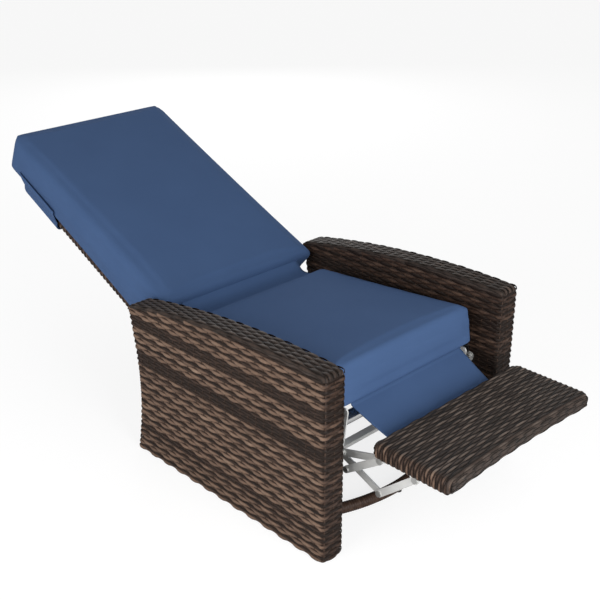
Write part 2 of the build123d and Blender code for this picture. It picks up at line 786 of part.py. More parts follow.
def back_pieces():
    """Hinge plates, tube frame, woven shell and hood of the back."""
    under = -back_cushion_thickness - back_frame_gap - back_panel_thickness
    tube_middle = -back_cushion_thickness - back_frame_gap - back_panel_thickness / 2
    corner = back_corner_radius - hood_wall
    with BuildPart() as weave:
        with BuildSketch(back_plan(under)):
            add(rounded_top_panel(back_panel_half_width, back_panel_start, back_panel_end, corner))
        extrude(amount=back_panel_thickness)
        fillet(weave.faces().filter_by(Axis((0, 0, 0), back_plan(0).z_dir)).edges(), wicker_wall)
        with BuildSketch(back_plan(under + wicker_wall)):
            add(rounded_top_panel(back_panel_half_width - wicker_wall, back_panel_start - overrun,
                                  back_panel_end - wicker_wall, corner - wicker_wall))
        extrude(amount=back_panel_thickness - 2 * wicker_wall, mode=Mode.SUBTRACT)
    keep("back_weave", weave.part)

    frame_outer = back_panel_half_width - wicker_wall - fit_gap
    frame_top = back_panel_end - wicker_wall - fit_gap
    tube = back_panel_thickness - 2 * wicker_wall - 2 * fit_gap
    side = frame_outer - rail_inner
    with BuildPart() as frame:
        with BuildSketch(back_plan(tube_middle - tube / 2)):
            add(rounded_top_panel(frame_outer, back_tube_start, frame_top, corner - wicker_wall))
            add(rounded_top_panel(rail_inner, back_tube_start - overrun, frame_top - side,
                                  corner - wicker_wall - side), mode=Mode.SUBTRACT)
            for spot in (hinge_plate_reach + side, back_cross_share * back_panel_end):
                with Locations((0, spot)):
                    Rectangle(2 * frame_outer, tube)
        extrude(amount=tube)
    keep("back_frame", frame.part)

    with BuildPart() as hood:
        top = -back_cushion_thickness - fit_gap
        hood_end = back_panel_end + hood_gap + hood_wall
        hood_half = back_panel_half_width + fit_gap + hood_wall
        with BuildSketch(back_plan(under - hood_depth)):
            add(rounded_top_panel(hood_half, hood_start, hood_end, corner + hood_wall))
        extrude(amount=top - under + hood_depth)
        rim = hood.faces().sort_by(Axis((0, 0, 0), back_plan(0).z_dir))[0].edges()
        fillet(rim, hood_wall)
        with BuildSketch(back_plan(under - hood_depth + hood_wall)):
            add(rounded_top_panel(hood_half - hood_wall, hood_start - overrun, hood_end - hood_wall,
                                  corner))
        extrude(amount=top - under + hood_depth, mode=Mode.SUBTRACT)
    keep("back_hood", hood.part)

    lobe = tube / 2 - fit_gap
    root = back_point(back_tube_start + side / 2, tube_middle)
    keep_pair("back_hinge_plate", pierced_plate(
        layer(0),
        [[(back_hinge, hinge_lobe_radius), (root, lobe)],
         [(root, lobe), (back_point(hinge_plate_reach, tube_middle), lobe)],
         [(back_hinge, hinge_lobe_radius), (recline_foot, plate_lobe_radius)]],
        [(back_hinge, pivot_radius + pin_clearance), (recline_foot, pivot_radius + pin_clearance)]))

    link_outer = link_inner + sheet
    keep_pair("recline_link", pierced_plate(
        link_outer, [[(recline_foot, plate_lobe_radius), (recline_base, plate_lobe_radius)]],
        [(recline_foot, pivot_radius + pin_clearance), (recline_base, pivot_radius + pin_clearance)]))
    base_pin = rivet(recline_base, link_outer, lug_inner, pivot_radius)
    foot_pin = half_rivet(recline_foot, link_outer, link_inner, pivot_radius)
    keep_both("recline_pins", Compound(base_pin.solids() + foot_pin.solids()))


def half_rivet(point, outer, inner, radius=rivet_radius, head=rivet_head_radius):
    """Rivet end that is flush outside, with a head on the inner face of its link."""
    return stepped_pin(point, [(outer, inner - fit_gap, radius),
                               (inner - fit_gap, inner - fit_gap - rivet_head_height, head)])


def linkage_pieces():
    """Lazy tongs of the footrest: drive, front, cross, brace and rear links with their pins."""
    journal_bore = journal_radius + pin_clearance
    bore = rivet_radius + pin_clearance
    sleeve_bore = sleeve_radius + pin_clearance
    keep_pair("drive_link", link_bar(layer(1), drive_pivot, drive_end,
                                     [(drive_pivot, journal_bore), (crossing, bore), (drive_end, bore)]))
    with BuildPart() as bar:
        with BuildSketch(side_plane(plate_inner - fit_gap)):
            with Locations(drive_pivot):
                Rectangle(cross_bar_side, cross_bar_side,
                          rotation=math.degrees(math.atan2(drive_end_z - drive_pivot_z,
                                                           drive_end_y - drive_pivot_y)))
        extrude(amount=2 * (plate_inner - fit_gap))
        with BuildSketch(side_plane(layer(1))):
            with Locations(drive_pivot):
                Circle(journal_radius)
        extrude(amount=2 * layer(1))
    keep("drive_cross_bar", bar.part)
    keep_both("drive_rivets", half_rivet(crossing, layer(1), layer(1) - sheet))

    keep_pair("front_link", link_bar(layer(2), drive_end, front_mount,
                                     [(drive_end, bore), (front_mount, bore)]))
    keep_both("front_rivets", rivet(drive_end, layer(2), layer(1) - sheet))

    keep_pair("cross_link", link_bar(layer(6), rear_mount, crossing,
                                     [(rear_mount, sleeve_bore), (crossing, bore)]))
    keep_pair("brace_link", link_bar(layer(4), rear_mount, brace_end,
                                     [(rear_mount, sleeve_bore), (brace_end, bore)]))
    sleeve = stepped_pin(rear_mount, [
        (layer(6) + fit_gap + rivet_head_height, layer(6) + fit_gap, sleeve_head_radius),
        (layer(6) + fit_gap, layer(3) - sheet - fit_gap, sleeve_radius),
        (layer(3) - sheet - fit_gap, layer(3) - sheet - fit_gap - rivet_head_height, sleeve_head_radius)])
    crossing_head = stepped_pin(crossing, [
        (layer(6) + fit_gap + rivet_head_height, layer(6) + fit_gap, rivet_head_radius),
        (layer(6) + fit_gap, layer(6) - sheet, rivet_radius)])
    brace_head = half_rivet(brace_end, layer(4), layer(4) - sheet)
    keep_both("cross_rivets", Compound(
        sleeve.solids() + crossing_head.solids() + brace_head.solids()))

    keep_pair("rear_link", link_bar(layer(5), rear_pivot, brace_end,
                                    [(rear_pivot, bore), (brace_end, bore)]))
    rear_pin = rivet(rear_pivot, layer(5), plate_inner)
    brace_stub = stepped_pin(brace_end, [(layer(5), layer(5) - sheet, rivet_radius)])
    keep_both("rear_rivets", Compound(rear_pin.solids() + brace_stub.solids()))


def footrest_outline(inset):
    """Plan outline of the footrest with its hollowed front edge, set in all round."""
    with BuildSketch() as outline:
        with BuildLine():
            Polyline((-footrest_half_width, footrest_front_y), (-footrest_half_width, footrest_rear_y),
                     (footrest_half_width, footrest_rear_y), (footrest_half_width, footrest_front_y))
            ThreePointArc((footrest_half_width, footrest_front_y), (0, footrest_front_y + footrest_arch),
                          (-footrest_half_width, footrest_front_y))
        make_face()
        if inset:
            offset(amount=-inset, kind=Kind.INTERSECTION, mode=Mode.REPLACE)
        if footrest_corner_radius > inset:
            fillet(outline.vertices(), footrest_corner_radius - inset)
    return outline.sketch


def footrest_pieces():
    """Woven shell, tube frame, brackets, screws and pins of the footrest."""
    skin = wicker_wall + fit_gap
    bearer = layer(3) - sheet - bracket_flange_width / 2
    screws = [(-bearer, front_mount_y + share * (rear_mount_y - front_mount_y)) for share in screw_shares]
    with BuildPart() as weave:
        with BuildSketch(Plane.XY.offset(footrest_bottom_z)):
            add(footrest_outline(0))
        extrude(amount=footrest_thickness)
        fillet(weave.faces().filter_by(Axis.Z).edges(), footrest_edge_radius)
        with BuildSketch(Plane.XY.offset(footrest_bottom_z + wicker_wall)):
            add(footrest_outline(wicker_wall))
        extrude(amount=footrest_thickness - 2 * wicker_wall, mode=Mode.SUBTRACT)
        with BuildSketch(Plane.XY.offset(footrest_bottom_z - overrun)):
            for x, y in screws:
                with Locations((x, y), (-x, y)):
                    Circle(screw_radius + bolt_clearance)
        extrude(amount=wicker_wall + 2 * overrun, mode=Mode.SUBTRACT)
    keep("footrest_weave", weave.part)

    with BuildPart() as frame:
        with BuildSketch(Plane.XY.offset(footrest_bottom_z + skin)):
            add(footrest_outline(skin))
            add(footrest_outline(skin + footrest_tube), mode=Mode.SUBTRACT)
            for distance in (-bearer, bearer):
                with Locations((distance, (footrest_front_y + footrest_rear_y) / 2)):
                    Rectangle(footrest_tube, footrest_rear_y - footrest_front_y - 2 * footrest_tube)
            for x, y in screws:
                with Locations((x, y), (-x, y)):
                    Circle(screw_radius + bolt_clearance, mode=Mode.SUBTRACT)
        extrude(amount=footrest_tube)
    keep("footrest_frame", frame.part)

    top = footrest_bottom_z - fit_gap
    strip = bracket_strip_height / 2
    strip_front = (front_mount_y - bracket_tail, top - strip)
    strip_rear = (rear_mount_y - bracket_tail, top - strip)
    with BuildPart() as bracket:
        with BuildSketch(side_plane(layer(3))):
            add(web([(strip_front, strip), (strip_rear, strip)]))
            add(web([(front_mount, bracket_lug_radius), (strip_front, strip),
                     ((front_mount_y + bracket_tail, top - strip), strip)]))
            add(web([(rear_mount, bracket_lug_radius), (strip_rear, strip)]))
            for point, radius in ((front_mount, rivet_radius), (rear_mount, sleeve_radius)):
                with Locations(point):
                    Circle(radius + pin_clearance, mode=Mode.SUBTRACT)
        extrude(amount=sheet)
        with BuildSketch(Plane.XY.offset(top - bracket_flange_thickness)):
            with Locations((-bearer - sheet / 2, (strip_front[0] + strip_rear[0]) / 2)):
                Rectangle(bracket_flange_width + sheet, strip_rear[0] - strip_front[0])
            for x, y in screws:
                with Locations((x, y)):
                    Circle(screw_radius + bolt_clearance, mode=Mode.SUBTRACT)
        extrude(amount=bracket_flange_thickness)
    keep_pair("footrest_bracket", bracket.part)
    keep_both("footrest_rivets", rivet(front_mount, layer(3), layer(2) - sheet))

    head_top = top - bracket_flange_thickness - fit_gap
    with BuildPart() as screw:
        with BuildSketch(Plane.XY.offset(head_top - screw_head_height)):
            with Locations(*screws):
                Circle(screw_head_radius)
        extrude(amount=screw_head_height)
        with BuildSketch(Plane.XY.offset(head_top)):
            with Locations(*screws):
                Circle(screw_radius)
        extrude(amount=bracket_flange_thickness + wicker_wall + screw_reach)
    keep_both("footrest_screws", screw.part)


def export_all():
    """Writes every piece with its origin on the floor under the middle of the whole chair."""
    boxes = [part.bounding_box() for part in pieces.values()]
    middle = (min(box.min.Y for box in boxes) + max(box.max.Y for box in boxes)) / 2
    print("origin stands at y", round(middle, 4))
    os.makedirs("parts", exist_ok=True)
    for name, part in pieces.items():
        placed = Pos(0, -middle, 0) * part
        placed.label = name
        export_step(placed, "parts/" + name + ".step")


arm_pieces()
bow_pieces()
base_pieces()
seat_pieces()
back_pieces()
soft_pieces()
linkage_pieces()
footrest_pieces()
export_all()
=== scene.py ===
import math
import bpy
import numpy as np
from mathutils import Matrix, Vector


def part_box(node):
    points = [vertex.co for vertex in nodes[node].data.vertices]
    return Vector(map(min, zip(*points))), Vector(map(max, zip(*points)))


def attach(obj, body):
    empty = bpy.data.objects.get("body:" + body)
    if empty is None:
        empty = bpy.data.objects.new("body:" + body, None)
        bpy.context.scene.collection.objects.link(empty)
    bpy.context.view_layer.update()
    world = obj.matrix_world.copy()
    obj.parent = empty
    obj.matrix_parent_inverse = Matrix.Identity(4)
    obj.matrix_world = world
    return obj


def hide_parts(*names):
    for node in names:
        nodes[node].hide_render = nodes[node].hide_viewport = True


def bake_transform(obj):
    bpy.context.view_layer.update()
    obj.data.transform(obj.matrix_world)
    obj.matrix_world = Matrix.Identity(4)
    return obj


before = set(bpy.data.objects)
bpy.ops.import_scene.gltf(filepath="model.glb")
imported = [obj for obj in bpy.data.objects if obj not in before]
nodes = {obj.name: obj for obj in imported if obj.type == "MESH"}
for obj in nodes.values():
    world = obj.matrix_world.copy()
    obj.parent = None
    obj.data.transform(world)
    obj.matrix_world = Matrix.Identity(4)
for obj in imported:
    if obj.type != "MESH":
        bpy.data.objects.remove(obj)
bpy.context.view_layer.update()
scene = bpy.context.scene
sides = {"_r": -1, "_l": 1}
print("frame loaded,", len(nodes), "nodes")


# Colours are written as 0 to 255 screen values
def screen(red, green, blue):
    linear = [((value / 255 + 0.055) / 1.055) ** 2.4 if value > 10 else value / 255 / 12.92
              for value in (red, green, blue)]
    return (*linear, 1.0)


# Camera, at the viewpoint of the photograph
viewPoint = {"place": (-1.777, -1.9477, 1.590), "yaw": 44.34, "pitch": 24.62, "lens": 63.15}


def addCamera():
    data = bpy.data.cameras.new("chairCamera")
    data.sensor_width = 36
    data.lens = viewPoint["lens"]
    camera = bpy.data.objects.new("chairCamera", data)
    camera.location = viewPoint["place"]
    camera.rotation_euler = (math.radians(90 - viewPoint["pitch"]), 0, -math.radians(viewPoint["yaw"]))
    scene.collection.objects.link(camera)
    scene.camera = camera


# Studio light: soft lamps from the left, the front and behind, and an even surround
studio = {
    "left": {"place": (-3.2, -0.4, 1.05), "aim": (0, 0, 0.35), "size": 1.8, "power": 54},
    "front": {"place": (-0.6, -2.3, 0.85), "aim": (0, 0, 0.35), "size": 1.2, "power": 40},
    "behind": {"place": (2.8, 3.3, 1.6), "aim": (0, 0.2, 0.35), "size": 1.6, "power": 26},
    "surround": 0.50,
    "floor": (0.86, 0.86, 0.86, 1),
    "floorReach": 9.0,
    "glow": 1.12, "glowShare": 0.72,
}


def addLamp(name, place, aim, size, power):
    data = bpy.data.lights.new(name, "AREA")
    data.size = size
    data.energy = power
    lamp = bpy.data.objects.new(name, data)
    lamp.location = place
    lamp.visible_camera = False
    lamp.rotation_euler = (Vector(aim) - Vector(place)).to_track_quat("-Z", "Y").to_euler()
    scene.collection.objects.link(lamp)


# White where it is seen, seen through or mirrored, and dimmer as a source of light
def addSurround():
    world = bpy.data.worlds.new("surround")
    world.use_nodes = True
    tree = world.node_tree
    paths = tree.nodes.new("ShaderNodeLightPath")
    seen = tree.nodes.new("ShaderNodeMath")
    seen.operation = "MAXIMUM"
    clear = tree.nodes.new("ShaderNodeMath")
    clear.operation = "MAXIMUM"
    strength = tree.nodes.new("ShaderNodeMapRange")
    strength.inputs["To Min"].default_value = studio["surround"]
    strength.inputs["To Max"].default_value = 1.0
    ground = tree.nodes["Background"]
    ground.inputs["Color"].default_value = (1, 1, 1, 1)
    tree.links.new(paths.outputs["Is Camera Ray"], seen.inputs[0])
    tree.links.new(paths.outputs["Is Transmission Ray"], seen.inputs[1])
    tree.links.new(seen.outputs[0], clear.inputs[0])
    tree.links.new(paths.outputs["Is Glossy Ray"], clear.inputs[1])
    tree.links.new(clear.outputs[0], strength.inputs["Value"])
    tree.links.new(strength.outputs[0], ground.inputs["Strength"])
    scene.world = world


def addFloor():
    mesh = bpy.data.meshes.new("floor")
    reach = studio["floorReach"]
    corners = [(-reach, -reach, 0), (reach, -reach, 0), (reach, reach, 0), (-reach, reach, 0)]
    mesh.from_pydata(corners, [], [(0, 1, 2, 3)])
    floor = bpy.data.objects.new("floor", mesh)
    scene.collection.objects.link(floor)
    material = bpy.data.materials.new("studioFloor")
    material.use_nodes = True
    tree = material.node_tree
    shader = tree.nodes["Principled BSDF"]
    shader.inputs["Base Color"].default_value = studio["floor"]
    shader.inputs["Roughness"].default_value = 0.9
    shader.inputs["Specular IOR Level"].default_value = 0.1
    # The camera sees the floor as bright as the backdrop, less its shadow
    paths = tree.nodes.new("ShaderNodeLightPath")
    glow = tree.nodes.new("ShaderNodeEmission")
    glow.inputs["Color"].default_value = (1, 1, 1, 1)
    glow.inputs["Strength"].default_value = studio["glow"]
    mixer = tree.nodes.new("ShaderNodeMixShader")
    share = tree.nodes.new("ShaderNodeMath")
    share.operation = "MULTIPLY"
    share.inputs[1].default_value = studio["glowShare"]
    tree.links.new(paths.outputs["Is Camera Ray"], share.inputs[0])
    tree.links.new(share.outputs[0], mixer.inputs["Fac"])
    tree.links.new(shader.outputs[0], mixer.inputs[1])
    tree.links.new(glow.outputs[0], mixer.inputs[2])
    tree.links.new(mixer.outputs[0], tree.nodes["Material Output"].inputs["Surface"])
    mesh.materials.append(material)


# Shader groups that several finishes share
def newGroup(name, inputs, outputs):
    group = bpy.data.node_groups.new(name, "ShaderNodeTree")
    for label, kind, value in inputs:
        socket = group.interface.new_socket(label, in_out="INPUT", socket_type=kind)
        if value is not None:
            socket.default_value = value
    for label, kind in outputs:
        group.interface.new_socket(label, in_out="OUTPUT", socket_type=kind)
    return group, group.nodes.new("NodeGroupInput"), group.nodes.new("NodeGroupOutput")


# Fine plain weave of a fabric: crossing threads with a little unevenness
def threadGroup():
    tree, start, end = newGroup(
        "threadWeave",
        [("Vector", "NodeSocketVector", None), ("Thread", "NodeSocketFloat", 900.0)],
        [("Height", "NodeSocketFloat"), ("Patch", "NodeSocketFloat")])
    scaled = tree.nodes.new("ShaderNodeVectorMath")
    scaled.operation = "SCALE"
    tree.links.new(start.outputs["Vector"], scaled.inputs[0])
    tree.links.new(start.outputs["Thread"], scaled.inputs["Scale"])
    waves = []
    for turn in (0.0, 90.0):
        mapping = tree.nodes.new("ShaderNodeMapping")
        mapping.inputs["Rotation"].default_value = [math.radians(angle) for angle in (35, turn, turn)]
        wave = tree.nodes.new("ShaderNodeTexWave")
        wave.inputs["Scale"].default_value = 1.0
        wave.inputs["Distortion"].default_value = 0.6
        tree.links.new(scaled.outputs[0], mapping.inputs["Vector"])
        tree.links.new(mapping.outputs[0], wave.inputs["Vector"])
        waves.append(wave)
    joined = tree.nodes.new("ShaderNodeMath")
    joined.operation = "ADD"
    tree.links.new(waves[0].outputs["Fac"], joined.inputs[0])
    tree.links.new(waves[1].outputs["Fac"], joined.inputs[1])
    patch = tree.nodes.new("ShaderNodeTexNoise")
    patch.inputs["Scale"].default_value = 7.0
    patch.inputs["Detail"].default_value = 3.0
    tree.links.new(start.outputs["Vector"], patch.inputs["Vector"])
    tree.links.new(joined.outputs[0], end.inputs["Height"])
    tree.links.new(patch.outputs["Fac"], end.inputs["Patch"])
    return tree


# Small dents and scuffs with darker dust in them
def wearGroup():
    tree, start, end = newGroup(
        "lightWear",
        [("Vector", "NodeSocketVector", None), ("Grain", "NodeSocketFloat", 240.0)],
        [("Mask", "NodeSocketFloat"), ("Height", "NodeSocketFloat")])
    fine = tree.nodes.new("ShaderNodeTexNoise")
    fine.inputs["Detail"].default_value = 4.0
    tree.links.new(start.outputs["Vector"], fine.inputs["Vector"])
    tree.links.new(start.outputs["Grain"], fine.inputs["Scale"])
    broad = tree.nodes.new("ShaderNodeTexNoise")
    broad.inputs["Scale"].default_value = 9.0
    broad.inputs["Detail"].default_value = 6.0
    tree.links.new(start.outputs["Vector"], broad.inputs["Vector"])
    ramp = tree.nodes.new("ShaderNodeMapRange")
    ramp.inputs["From Min"].default_value = 0.42
    ramp.inputs["From Max"].default_value = 0.72
    tree.links.new(broad.outputs["Fac"], ramp.inputs["Value"])
    tree.links.new(ramp.outputs[0], end.inputs["Mask"])
    tree.links.new(fine.outputs["Fac"], end.inputs["Height"])
    return tree


groups = {}


# Materials
def newMaterial(name, color, roughness, metallic=0.0):
    material = bpy.data.materials.new(name)
    material.use_nodes = True
    material.diffuse_color = color
    shader = material.node_tree.nodes["Principled BSDF"]
    shader.inputs["Base Color"].default_value = color
    shader.inputs["Roughness"].default_value = roughness
    shader.inputs["Metallic"].default_value = metallic
    return material, material.node_tree, shader


def placeGroup(tree, name, **values):
    node = tree.nodes.new("ShaderNodeGroup")
    node.node_tree = groups[name]
    coords = tree.nodes.new("ShaderNodeTexCoord")
    tree.links.new(coords.outputs["Object"], node.inputs["Vector"])
    for label, value in values.items():
        node.inputs[label].default_value = value
    return node


def mixColors(tree, factor, first, second):
    mixer = tree.nodes.new("ShaderNodeMix")
    mixer.data_type = "RGBA"
    tree.links.new(factor, mixer.inputs["Factor"])
    mixer.inputs["A"].default_value = first
    mixer.inputs["B"].default_value = second
    return mixer.outputs["Result"]


def addBump(tree, shader, height, distance, strength):
    bump = tree.nodes.new("ShaderNodeBump")
    bump.inputs["Distance"].default_value = distance
    bump.inputs["Strength"].default_value = strength
    tree.links.new(height, bump.inputs["Height"])
    tree.links.new(bump.outputs["Normal"], shader.inputs["Normal"])


# Outdoor cushion cloth
def cushionCloth(name, color, deep):
    material, tree, shader = newMaterial(name, color, 0.9)
    shader.inputs["Sheen Weight"].default_value = 0.04
    shader.inputs["Sheen Roughness"].default_value = 0.5
    shader.inputs["Sheen Tint"].default_value = screen(120, 155, 215)
    shader.inputs["Specular IOR Level"].default_value = 0.1
    weave = placeGroup(tree, "thread", Thread=1100.0)
    tree.links.new(mixColors(tree, weave.outputs["Patch"], deep, color), shader.inputs["Base Color"])
    addBump(tree, shader, weave.outputs["Height"], 0.0004, 0.25)
    return material


# Flat woven strand: the mesh holds its tone and how warm its brown is, with fine grain over them
strandShades = {
    "warm": ((0.0, (24, 15, 10)), (0.30, (58, 43, 35)), (0.66, (108, 87, 73)), (1.0, (142, 120, 103))),
    "cool": ((0.0, (20, 18, 16)), (0.30, (50, 44, 40)), (0.66, (96, 88, 82)), (1.0, (132, 124, 116))),
}


def strandFinish():
    material, tree, shader = newMaterial("wickerStrand", screen(108, 87, 73), 0.55)
    shader.inputs["Specular IOR Level"].default_value = 0.15
    tone = tree.nodes.new("ShaderNodeAttribute")
    tone.attribute_name = "tone"
    warmth = tree.nodes.new("ShaderNodeAttribute")
    warmth.attribute_name = "warmth"
    coords = tree.nodes.new("ShaderNodeTexCoord")
    fleck = tree.nodes.new("ShaderNodeTexNoise")
    fleck.inputs["Scale"].default_value = 150.0
    fleck.inputs["Detail"].default_value = 3.0
    tree.links.new(coords.outputs["Object"], fleck.inputs["Vector"])
    change = tree.nodes.new("ShaderNodeMapRange")
    change.inputs["To Min"].default_value = -0.16
    change.inputs["To Max"].default_value = 0.16
    tree.links.new(fleck.outputs["Fac"], change.inputs["Value"])
    flecked = tree.nodes.new("ShaderNodeMath")
    flecked.operation = "ADD"
    tree.links.new(change.outputs[0], flecked.inputs[0])
    tree.links.new(tone.outputs["Fac"], flecked.inputs[1])
    mixer = tree.nodes.new("ShaderNodeMix")
    mixer.data_type = "RGBA"
    for kind, socket in (("cool", "A"), ("warm", "B")):
        (darkest, darkColor), *lighter = strandShades[kind]
        ramp = tree.nodes.new("ShaderNodeValToRGB")
        stops = ramp.color_ramp.elements
        stops.remove(stops[0])
        stops[0].position, stops[0].color = darkest, screen(*darkColor)
        for place, color in lighter:
            stops.new(place).color = screen(*color)
        tree.links.new(flecked.outputs[0], ramp.inputs["Fac"])
        tree.links.new(ramp.outputs["Color"], mixer.inputs[socket])
    tree.links.new(warmth.outputs["Fac"], mixer.inputs["Factor"])
    tree.links.new(mixer.outputs["Result"], shader.inputs["Base Color"])
    addBump(tree, shader, fleck.outputs["Fac"], 0.0004, 0.5)
    return material


# Dark ground behind the woven strands: painted shade for the shadow seen in the gaps between them
def wickerShadeBacking():
    material, tree, shader = newMaterial("wickerShadeBacking", screen(40, 28, 21), 0.75)
    wear = placeGroup(tree, "wear", Grain=180.0)
    tree.links.new(mixColors(tree, wear.outputs["Height"], screen(26, 18, 13), screen(58, 42, 32)),
                   shader.inputs["Base Color"])
    addBump(tree, shader, wear.outputs["Height"], 0.001, 0.6)
    return material


# Painted or polished metal with a trace of wear
def metalFinish(name, color, roughness, metallic, coat=0.0):
    material, tree, shader = newMaterial(name, color, roughness, metallic)
    shader.inputs["Coat Weight"].default_value = coat
    wear = placeGroup(tree, "wear", Grain=320.0)
    darker = tuple(value * 0.82 for value in color[:3]) + (1.0,)
    tree.links.new(mixColors(tree, wear.outputs["Mask"], color, darker), shader.inputs["Base Color"])
    rough = tree.nodes.new("ShaderNodeMapRange")
    rough.inputs["To Min"].default_value = roughness
    rough.inputs["To Max"].default_value = min(1.0, roughness + 0.12)
    tree.links.new(wear.outputs["Mask"], rough.inputs["Value"])
    tree.links.new(rough.outputs[0], shader.inputs["Roughness"])
    addBump(tree, shader, wear.outputs["Height"], 0.0002, 0.15)
    return material


def mouldedPlastic(name, color):
    material, tree, shader = newMaterial(name, color, 0.6)
    wear = placeGroup(tree, "wear", Grain=500.0)
    addBump(tree, shader, wear.outputs["Height"], 0.0002, 0.3)
    return material


def webbingFinish():
    material, tree, shader = newMaterial("seatWebbing", screen(38, 38, 40), 0.85)
    weave = placeGroup(tree, "thread", Thread=700.0)
    tree.links.new(mixColors(tree, weave.outputs["Patch"], screen(28, 28, 30), screen(50, 50, 52)),
                   shader.inputs["Base Color"])
    addBump(tree, shader, weave.outputs["Height"], 0.0008, 0.6)
    return material


def makeFinishes():
    groups["thread"] = threadGroup()
    groups["wear"] = wearGroup()
    return {
        "cushion": cushionCloth("cushionCloth", screen(67, 90, 127), screen(62, 84, 120)),
        "strand": strandFinish(),
        "shadeBacking": wickerShadeBacking(),
        "steel": metalFinish("coatedSteel", screen(224, 224, 222), 0.28, 0.6, 0.2),
        "polished": metalFinish("polishedTube", screen(205, 205, 205), 0.16, 1.0),
        "zinc": metalFinish("zincFasteners", screen(180, 180, 178), 0.3, 0.9),
        "frame": metalFinish("frameTube", screen(82, 70, 60), 0.5, 0.3),
        "black": metalFinish("blackTube", screen(26, 25, 26), 0.4, 0.2, 0.3),
        "wrap": metalFinish("wrappedTube", screen(62, 46, 40), 0.5, 0.0),
        "plastic": mouldedPlastic("glidePlastic", screen(24, 24, 25)),
        "webbing": webbingFinish(),
    }


def paint(node, material):
    for slot in nodes[node].material_slots:
        slot.link = "OBJECT"
        slot.material = material


def addMesh(name, points, faces, body, material, smooth=True, marks=None):
    mesh = bpy.data.meshes.new(name)
    mesh.from_pydata(points, [], faces)
    if smooth:
        mesh.polygons.foreach_set("use_smooth", [True] * len(mesh.polygons))
    for label, values in (marks or {}).items():
        layer = mesh.attributes.new(label, "FLOAT", "POINT")
        layer.data.foreach_set("value", np.asarray(values, dtype=np.float32))
    mesh.materials.append(material)
    mesh.update()
    piece = bpy.data.objects.new(name, mesh)
    scene.collection.objects.link(piece)
    if body:
        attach(piece, body)
    return piece


# Distance travelled at each point of a line
def travelAlong(line):
    return np.concatenate([[0.0], np.cumsum(np.linalg.norm(np.diff(np.asarray(line), axis=0), axis=1))])


# Four-sided faces of a sheet whose points are given row by row
def gridFaces(rows, columns):
    return [(row * columns + column, row * columns + column + 1,
             (row + 1) * columns + column + 1, (row + 1) * columns + column)
            for row in range(rows - 1) for column in range(columns - 1)]


# Weaving: flat strands laid along paths, passing over and under evenly spaced stakes
class Weaving:
    def __init__(self, name, look, seed):
        self.name = name
        self.look = look
        self.random = np.random.default_rng(seed)
        self.across = np.linspace(-1.0, 1.0, look["columns"])
        self.points, self.faces, self.tones, self.warmths = [], [], [], []
        self.count = 0

    # A band along a line; heights, widths, tones and warmths are given at each of its points
    def band(self, line, out, side, rise, width, crown, tone, warmth):
        size = len(line)
        for place in self.across:
            height = rise + crown * (1 - place * place)
            self.points.append(line + out * height[:, None] + side * (place * width)[:, None])
            # painted shade: the strand darkens towards its edges, standing for the shadow in the grooves
            # between rows
            self.tones.append(tone - self.look["paintedEdgeShade"] * place ** 4)
            self.warmths.append(warmth)
        along = np.arange(size - 1)
        turned = np.sum(np.cross(np.gradient(line, axis=0), side) * out) < 0
        for column in range(len(self.across) - 1):
            low = self.count + column * size
            high = low + size
            ring = [low + along, low + along + 1, high + along + 1, high + along]
            self.faces.append(np.stack(ring[::-1] if turned else ring, 1))
        self.count += size * len(self.across)

    # A strand: travel is the distance from the stake that the pattern is counted from
    def lay(self, path, out, side, travel, odd, tone, warmth, wide=1.0):
        look = self.look
        turn = travel / look["stake"] + odd
        over = np.tanh(1.5 * np.cos(math.pi * turn)) / math.tanh(1.5)
        dash = np.floor(turn / 2 + 0.5).astype(int)
        dash -= dash.min()
        shade = tone + self.random.normal(0.0, look["dashChange"], dash.max() + 1)[dash]
        waver = look["waver"] * np.sin(travel * 38 + self.random.uniform(0, 6.3))
        # painted shade: the tone drops where the strand dips under a stake, standing for the shadow in
        # that hollow
        self.band(path + side * waver[:, None], out, side, look["base"] + look["lift"] * over,
                  wide * look["halfWidth"] * (1 + look["swell"] * over), look["crown"],
                  shade - look["paintedDipShade"] * (1 - over) / 2, warmth + np.zeros(len(path)))

    # A stake that shows as small pieces between the strands
    def stand(self, line, out, side, tone):
        flat = np.zeros(len(line))
        self.band(line, out, side, flat + self.look["stakeRise"], flat + self.look["stakeHalf"], 0.0004,
                  flat + tone, flat + 1.0)

    def finish(self, body):
        points = np.concatenate(self.points)
        faces = np.concatenate(self.faces)
        piece = addMesh(self.name, points.tolist(), faces.tolist(), body, finishes["strand"], True,
                        {"tone": np.concatenate(self.tones), "warmth": np.concatenate(self.warmths)})
        print(self.name, len(faces), "faces")
        return piece


# Points and outward directions along an outline, evenly spaced from an anchor, with the travel from it
def evenly(outline, normals, look, anchor):
    outline = np.asarray(outline, float)
    normals = np.asarray(normals, float)
    lengths = travelAlong(outline)
    step = look["stake"] / look["samples"]
    first, last = math.ceil(-anchor / step), math.floor((lengths[-1] - anchor) / step)
    marks = np.unique(np.concatenate([[0.0], anchor + step * np.arange(first, last + 1), [lengths[-1]]]))
    spots = np.stack([np.interp(marks, lengths, outline[:, axis]) for axis in range(2)], 1)
    outs = np.stack([np.interp(marks, lengths, normals[:, axis]) for axis in range(2)], 1)
    outs /= np.linalg.norm(outs, axis=1)[:, None]
    return spots, outs, marks - anchor


quarterSteps = 6


# Points and outward directions of a rounded turn
def quarter(center, radius, begin, finish, steps=quarterSteps):
    angles = np.radians(np.linspace(begin, finish, steps))
    ways = np.stack([np.cos(angles), np.sin(angles)], 1)
    return np.asarray(center) + radius * ways, ways


# Outline of straight runs between rounded turns, each given as (center, radius, begin, finish)
def outlineOf(turns):
    outline, outs = [], []
    for turn in turns:
        points, ways = quarter(*turn)
        outline.extend(points)
        outs.extend(ways)
    return outline, outs


